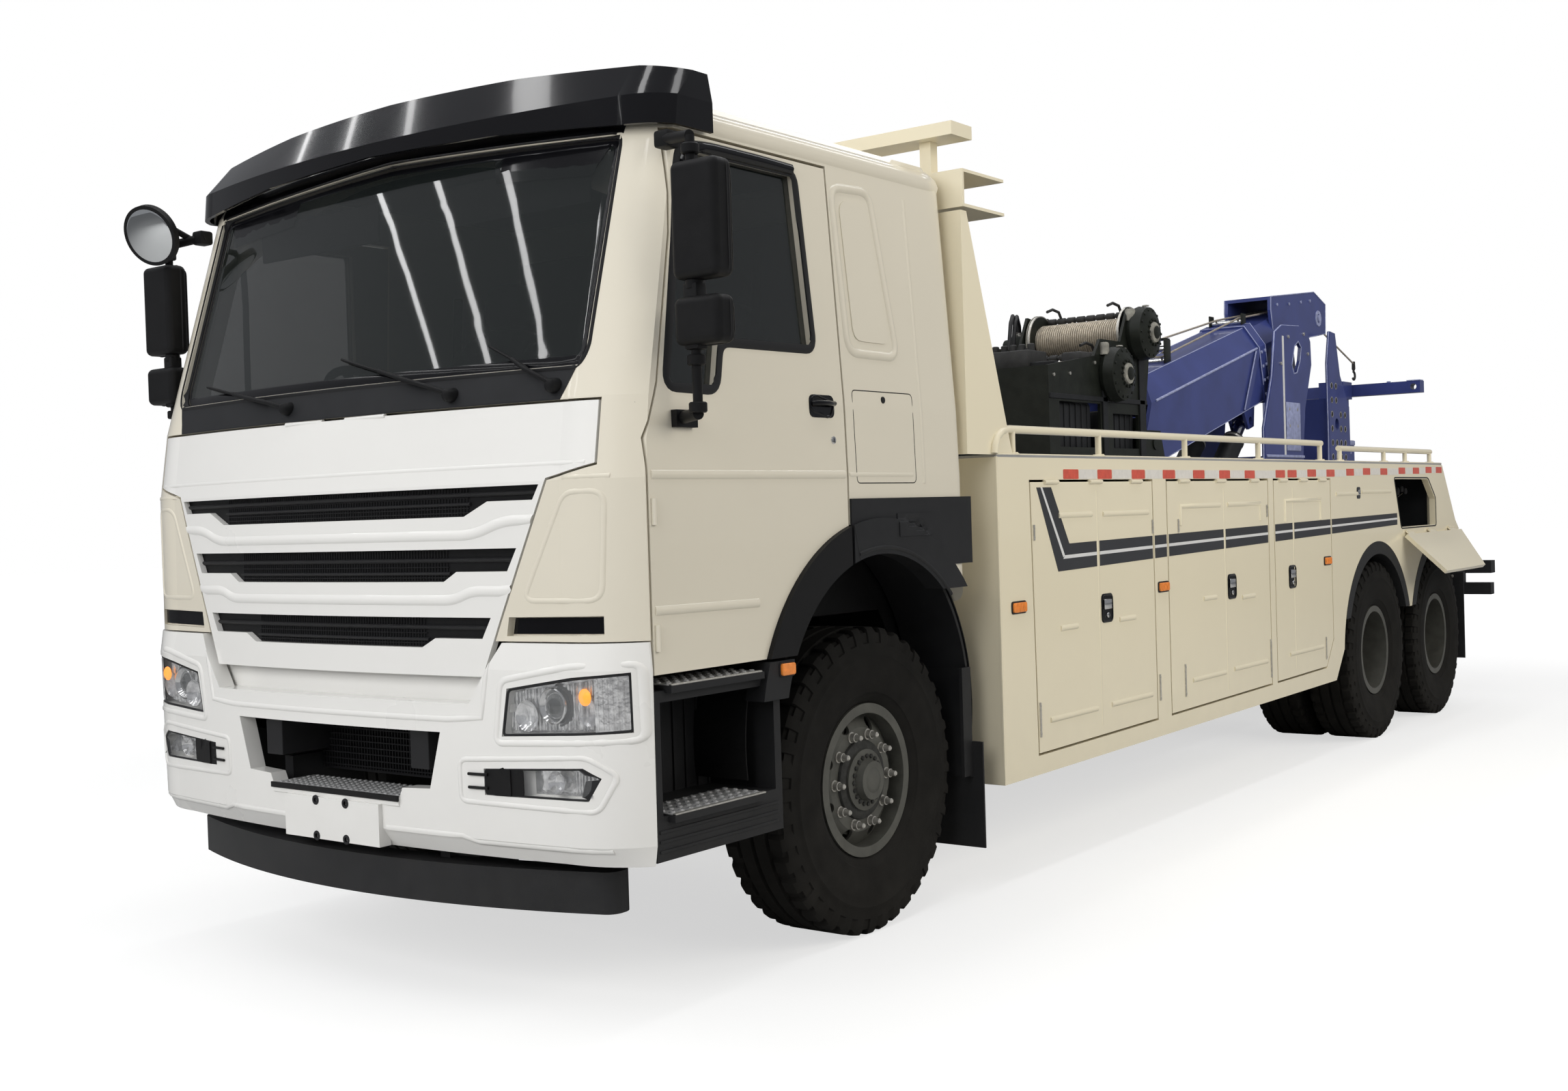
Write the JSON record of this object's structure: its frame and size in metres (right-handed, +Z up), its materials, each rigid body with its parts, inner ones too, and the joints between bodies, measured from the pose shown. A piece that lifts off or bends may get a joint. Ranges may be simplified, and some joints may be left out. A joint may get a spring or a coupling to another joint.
{
  "type": "tow truck",
  "caption": "Heavy recovery truck with lifting and sliding boom, twin winches, folding under-lift, side lockers and opening cab doors.",
  "frame": {"origin": "on the ground under the middle of the truck's length and width", "axes": "+Z up, -Y to the truck's front, +X to the truck's left"},
  "size_m": [3.0866, 10.428, 3.124],
  "materials": {
    "white_paint": "gloss",
    "frame_paint": "satin",
    "blue_paint": "satin",
    "black_gloss": "gloss",
    "black_plastic": "textured",
    "wheel_paint": "satin",
    "tyre_rubber": "matte",
    "clear_glass": "clear",
    "lamp_lens": "clear",
    "deck_plate": "tread plate",
    "bright_rod": "polished",
    "seat_cloth": "woven",
    "cast_metal": "rough"
  },
  "bodies": {
    "truck": {"chassis_frame": "frame_paint", "front_axle": "cast_metal", "rear_axles": "cast_metal", "engine": "cast_metal", "cab_shell": "white_paint", "cab_trim": "black_plastic", "windscreen": "clear_glass", "visor": "black_gloss", "dashboard": "black_plastic", "seats": "seat_cloth", "steps_and_guards": "black_plastic", "bumper": "white_paint", "lamps": "lamp_lens", "underrun_bar": "frame_paint", "body_deck": "deck_plate", "headboard_rails": "white_paint", "winch_frame": "frame_paint", "mast": "blue_paint", "rear_bumper": "frame_paint", "body_side_left": "white_paint", "body_side_right": "white_paint"},
    "front_flap": {"front_panel": "white_paint", "grille": "black_plastic"},
    "cab_door_left": {"door_left": "white_paint", "door_glass_left": "clear_glass", "door_fittings_left": "black_plastic"},
    "locker_front_left": {"locker_door_front_left": "white_paint"},
    "locker_middle_left": {"locker_door_middle_left": "white_paint"},
    "locker_rear_left": {"locker_door_rear_left": "white_paint"},
    "control_flap_left": {"control_door_left": "white_paint"},
    "steering_knuckle_left": {"knuckle_left": "cast_metal"},
    "wheel_front_left": {"rim_front_left": "wheel_paint", "tyre_front_left": "tyre_rubber"},
    "wheel_mid_left": {"rim_mid_left": "wheel_paint", "tyre_mid_left": "tyre_rubber"},
    "wheel_rear_left": {"rim_rear_left": "wheel_paint", "tyre_rear_left": "tyre_rubber"},
    "cab_door_right": {"door_right": "white_paint", "door_glass_right": "clear_glass", "door_fittings_right": "black_plastic"},
    "locker_front_right": {"locker_door_front_right": "white_paint"},
    "locker_middle_right": {"locker_door_middle_right": "white_paint"},
    "locker_rear_right": {"locker_door_rear_right": "white_paint"},
    "control_flap_right": {"control_door_right": "white_paint"},
    "steering_knuckle_right": {"knuckle_right": "cast_metal"},
    "wheel_front_right": {"rim_front_right": "wheel_paint", "tyre_front_right": "tyre_rubber"},
    "wheel_mid_right": {"rim_mid_right": "wheel_paint", "tyre_mid_right": "tyre_rubber"},
    "wheel_rear_right": {"rim_rear_right": "wheel_paint", "tyre_rear_right": "tyre_rubber"},
    "drum_lower": {"winch_drum_lower": "cast_metal"},
    "drum_upper": {"winch_drum_upper": "cast_metal"},
    "boom_outer": {"boom": "blue_paint"},
    "boom_inner": {"boom_head": "blue_paint"},
    "rams": {"ram_barrels": "frame_paint"},
    "rods": {"ram_rods": "bright_rod"},
    "lift_arm_body": {"lift_arm": "blue_paint"},
    "lift_inner": {"lift_extension": "blue_paint"},
    "crossbar": {"lift_crossbar": "blue_paint"}
  },
  "joints": [
    {"name": "front_flap_hinge", "type": "hinge", "parent": "truck", "child": "front_flap", "pos_m": [0, -5.14, 1.9], "axis": [-1, 0, 0], "range_deg": [0, 80]},
    {"name": "cab_door_left_hinge", "type": "hinge", "parent": "truck", "child": "cab_door_left", "pos_m": [1.252, -4.958, 1.9], "axis": [0, 0, -1], "range_deg": [0, 65]},
    {"name": "locker_front_left_hinge", "type": "hinge", "parent": "truck", "child": "locker_front_left", "pos_m": [1.25, -2.01, 1.64], "axis": [0, -1, 0], "range_deg": [0, 85]},
    {"name": "locker_middle_left_hinge", "type": "hinge", "parent": "truck", "child": "locker_middle_left", "pos_m": [1.25, -0.598, 1.64], "axis": [0, -1, 0], "range_deg": [0, 85]},
    {"name": "locker_rear_left_hinge", "type": "hinge", "parent": "truck", "child": "locker_rear_left", "pos_m": [1.25, 0.612, 1.64], "axis": [0, -1, 0], "range_deg": [0, 85]},
    {"name": "control_flap_left_hinge", "type": "hinge", "parent": "truck", "child": "control_flap_left", "pos_m": [1.255, 3.144, 1.3], "axis": [0, -1, 0], "range_deg": [0, 132]},
    {"name": "kingpin_left", "type": "hinge", "parent": "truck", "child": "steering_knuckle_left", "pos_m": [0.88, -3.696, 0.56], "axis": [0, 0, 1], "range_deg": [-30, 30]},
    {"name": "wheel_front_left_spin", "type": "hinge", "parent": "steering_knuckle_left", "child": "wheel_front_left", "pos_m": [1.011, -3.696, 0.56], "axis": [1, 0, 0], "continuous": true},
    {"name": "wheel_mid_left_spin", "type": "hinge", "parent": "truck", "child": "wheel_mid_left", "pos_m": [1.094, 1.954, 0.56], "axis": [1, 0, 0], "continuous": true},
    {"name": "wheel_rear_left_spin", "type": "hinge", "parent": "truck", "child": "wheel_rear_left", "pos_m": [1.094, 3.304, 0.56], "axis": [1, 0, 0], "continuous": true},
    {"name": "cab_door_right_hinge", "type": "hinge", "parent": "truck", "child": "cab_door_right", "pos_m": [-1.252, -4.958, 1.9], "axis": [0, 0, 1], "range_deg": [0, 65]},
    {"name": "locker_front_right_hinge", "type": "hinge", "parent": "truck", "child": "locker_front_right", "pos_m": [-1.25, -2.01, 1.64], "axis": [0, 1, 0], "range_deg": [0, 85]},
    {"name": "locker_middle_right_hinge", "type": "hinge", "parent": "truck", "child": "locker_middle_right", "pos_m": [-1.25, -0.598, 1.64], "axis": [0, 1, 0], "range_deg": [0, 85]},
    {"name": "locker_rear_right_hinge", "type": "hinge", "parent": "truck", "child": "locker_rear_right", "pos_m": [-1.25, 0.612, 1.64], "axis": [0, 1, 0], "range_deg": [0, 85]},
    {"name": "control_flap_right_hinge", "type": "hinge", "parent": "truck", "child": "control_flap_right", "pos_m": [-1.255, 3.144, 1.3], "axis": [0, 1, 0], "range_deg": [0, 132]},
    {"name": "kingpin_right", "type": "hinge", "parent": "truck", "child": "steering_knuckle_right", "pos_m": [-0.88, -3.696, 0.56], "axis": [0, 0, 1], "range_deg": [-30, 30]},
    {"name": "wheel_front_right_spin", "type": "hinge", "parent": "steering_knuckle_right", "child": "wheel_front_right", "pos_m": [-1.011, -3.696, 0.56], "axis": [1, 0, 0], "continuous": true},
    {"name": "wheel_mid_right_spin", "type": "hinge", "parent": "truck", "child": "wheel_mid_right", "pos_m": [-1.094, 1.954, 0.56], "axis": [1, 0, 0], "continuous": true},
    {"name": "wheel_rear_right_spin", "type": "hinge", "parent": "truck", "child": "wheel_rear_right", "pos_m": [-1.094, 3.304, 0.56], "axis": [1, 0, 0], "continuous": true},
    {"name": "drum_lower_spin", "type": "hinge", "parent": "truck", "child": "drum_lower", "pos_m": [0, 0.064, 2.28], "axis": [1, 0, 0], "continuous": true},
    {"name": "drum_upper_spin", "type": "hinge", "parent": "truck", "child": "drum_upper", "pos_m": [0, 0.434, 2.54], "axis": [1, 0, 0], "continuous": true},
    {"name": "boom_lift", "type": "hinge", "parent": "truck", "child": "boom_outer", "pos_m": [0, 0.784, 1.9], "axis": [1, 0, 0], "range_deg": [0, 40]},
    {"name": "boom_extend", "type": "slide", "parent": "boom_outer", "child": "boom_inner", "axis": [0, 0.9703, 0.2419], "range_m": [0, 1.2]},
    {"name": "ram_swing", "type": "hinge", "parent": "truck", "child": "rams", "pos_m": [0, 1.554, 1.25], "axis": [1, 0, 0], "range_deg": [0, 36.5]},
    {"name": "rod_extend", "type": "slide", "parent": "rams", "child": "rods", "axis": [0, 0.7657, 0.6432], "range_m": [0, 0.682]},
    {"name": "lift_fold", "type": "hinge", "parent": "truck", "child": "lift_arm_body", "pos_m": [0, 4.784, 0.76], "axis": [-1, 0, 0], "range_deg": [0, 90]},
    {"name": "lift_extend", "type": "slide", "parent": "lift_arm_body", "child": "lift_inner", "axis": [0, 0, 1], "range_m": [0, 0.8]},
    {"name": "crossbar_swivel", "type": "hinge", "parent": "lift_inner", "child": "crossbar", "pos_m": [0, 5.104, 2.413], "axis": [0, 1, 0], "range_deg": [-25, 25]}
  ],
  "couplings": [
    {"joint": "kingpin_right", "follows": "kingpin_left", "ratio": 1},
    {"joint": "ram_swing", "follows": "boom_lift", "ratio": 0.9125},
    {"joint": "rod_extend", "follows": "boom_lift", "m_per_rad": 0.97689}
  ]
}
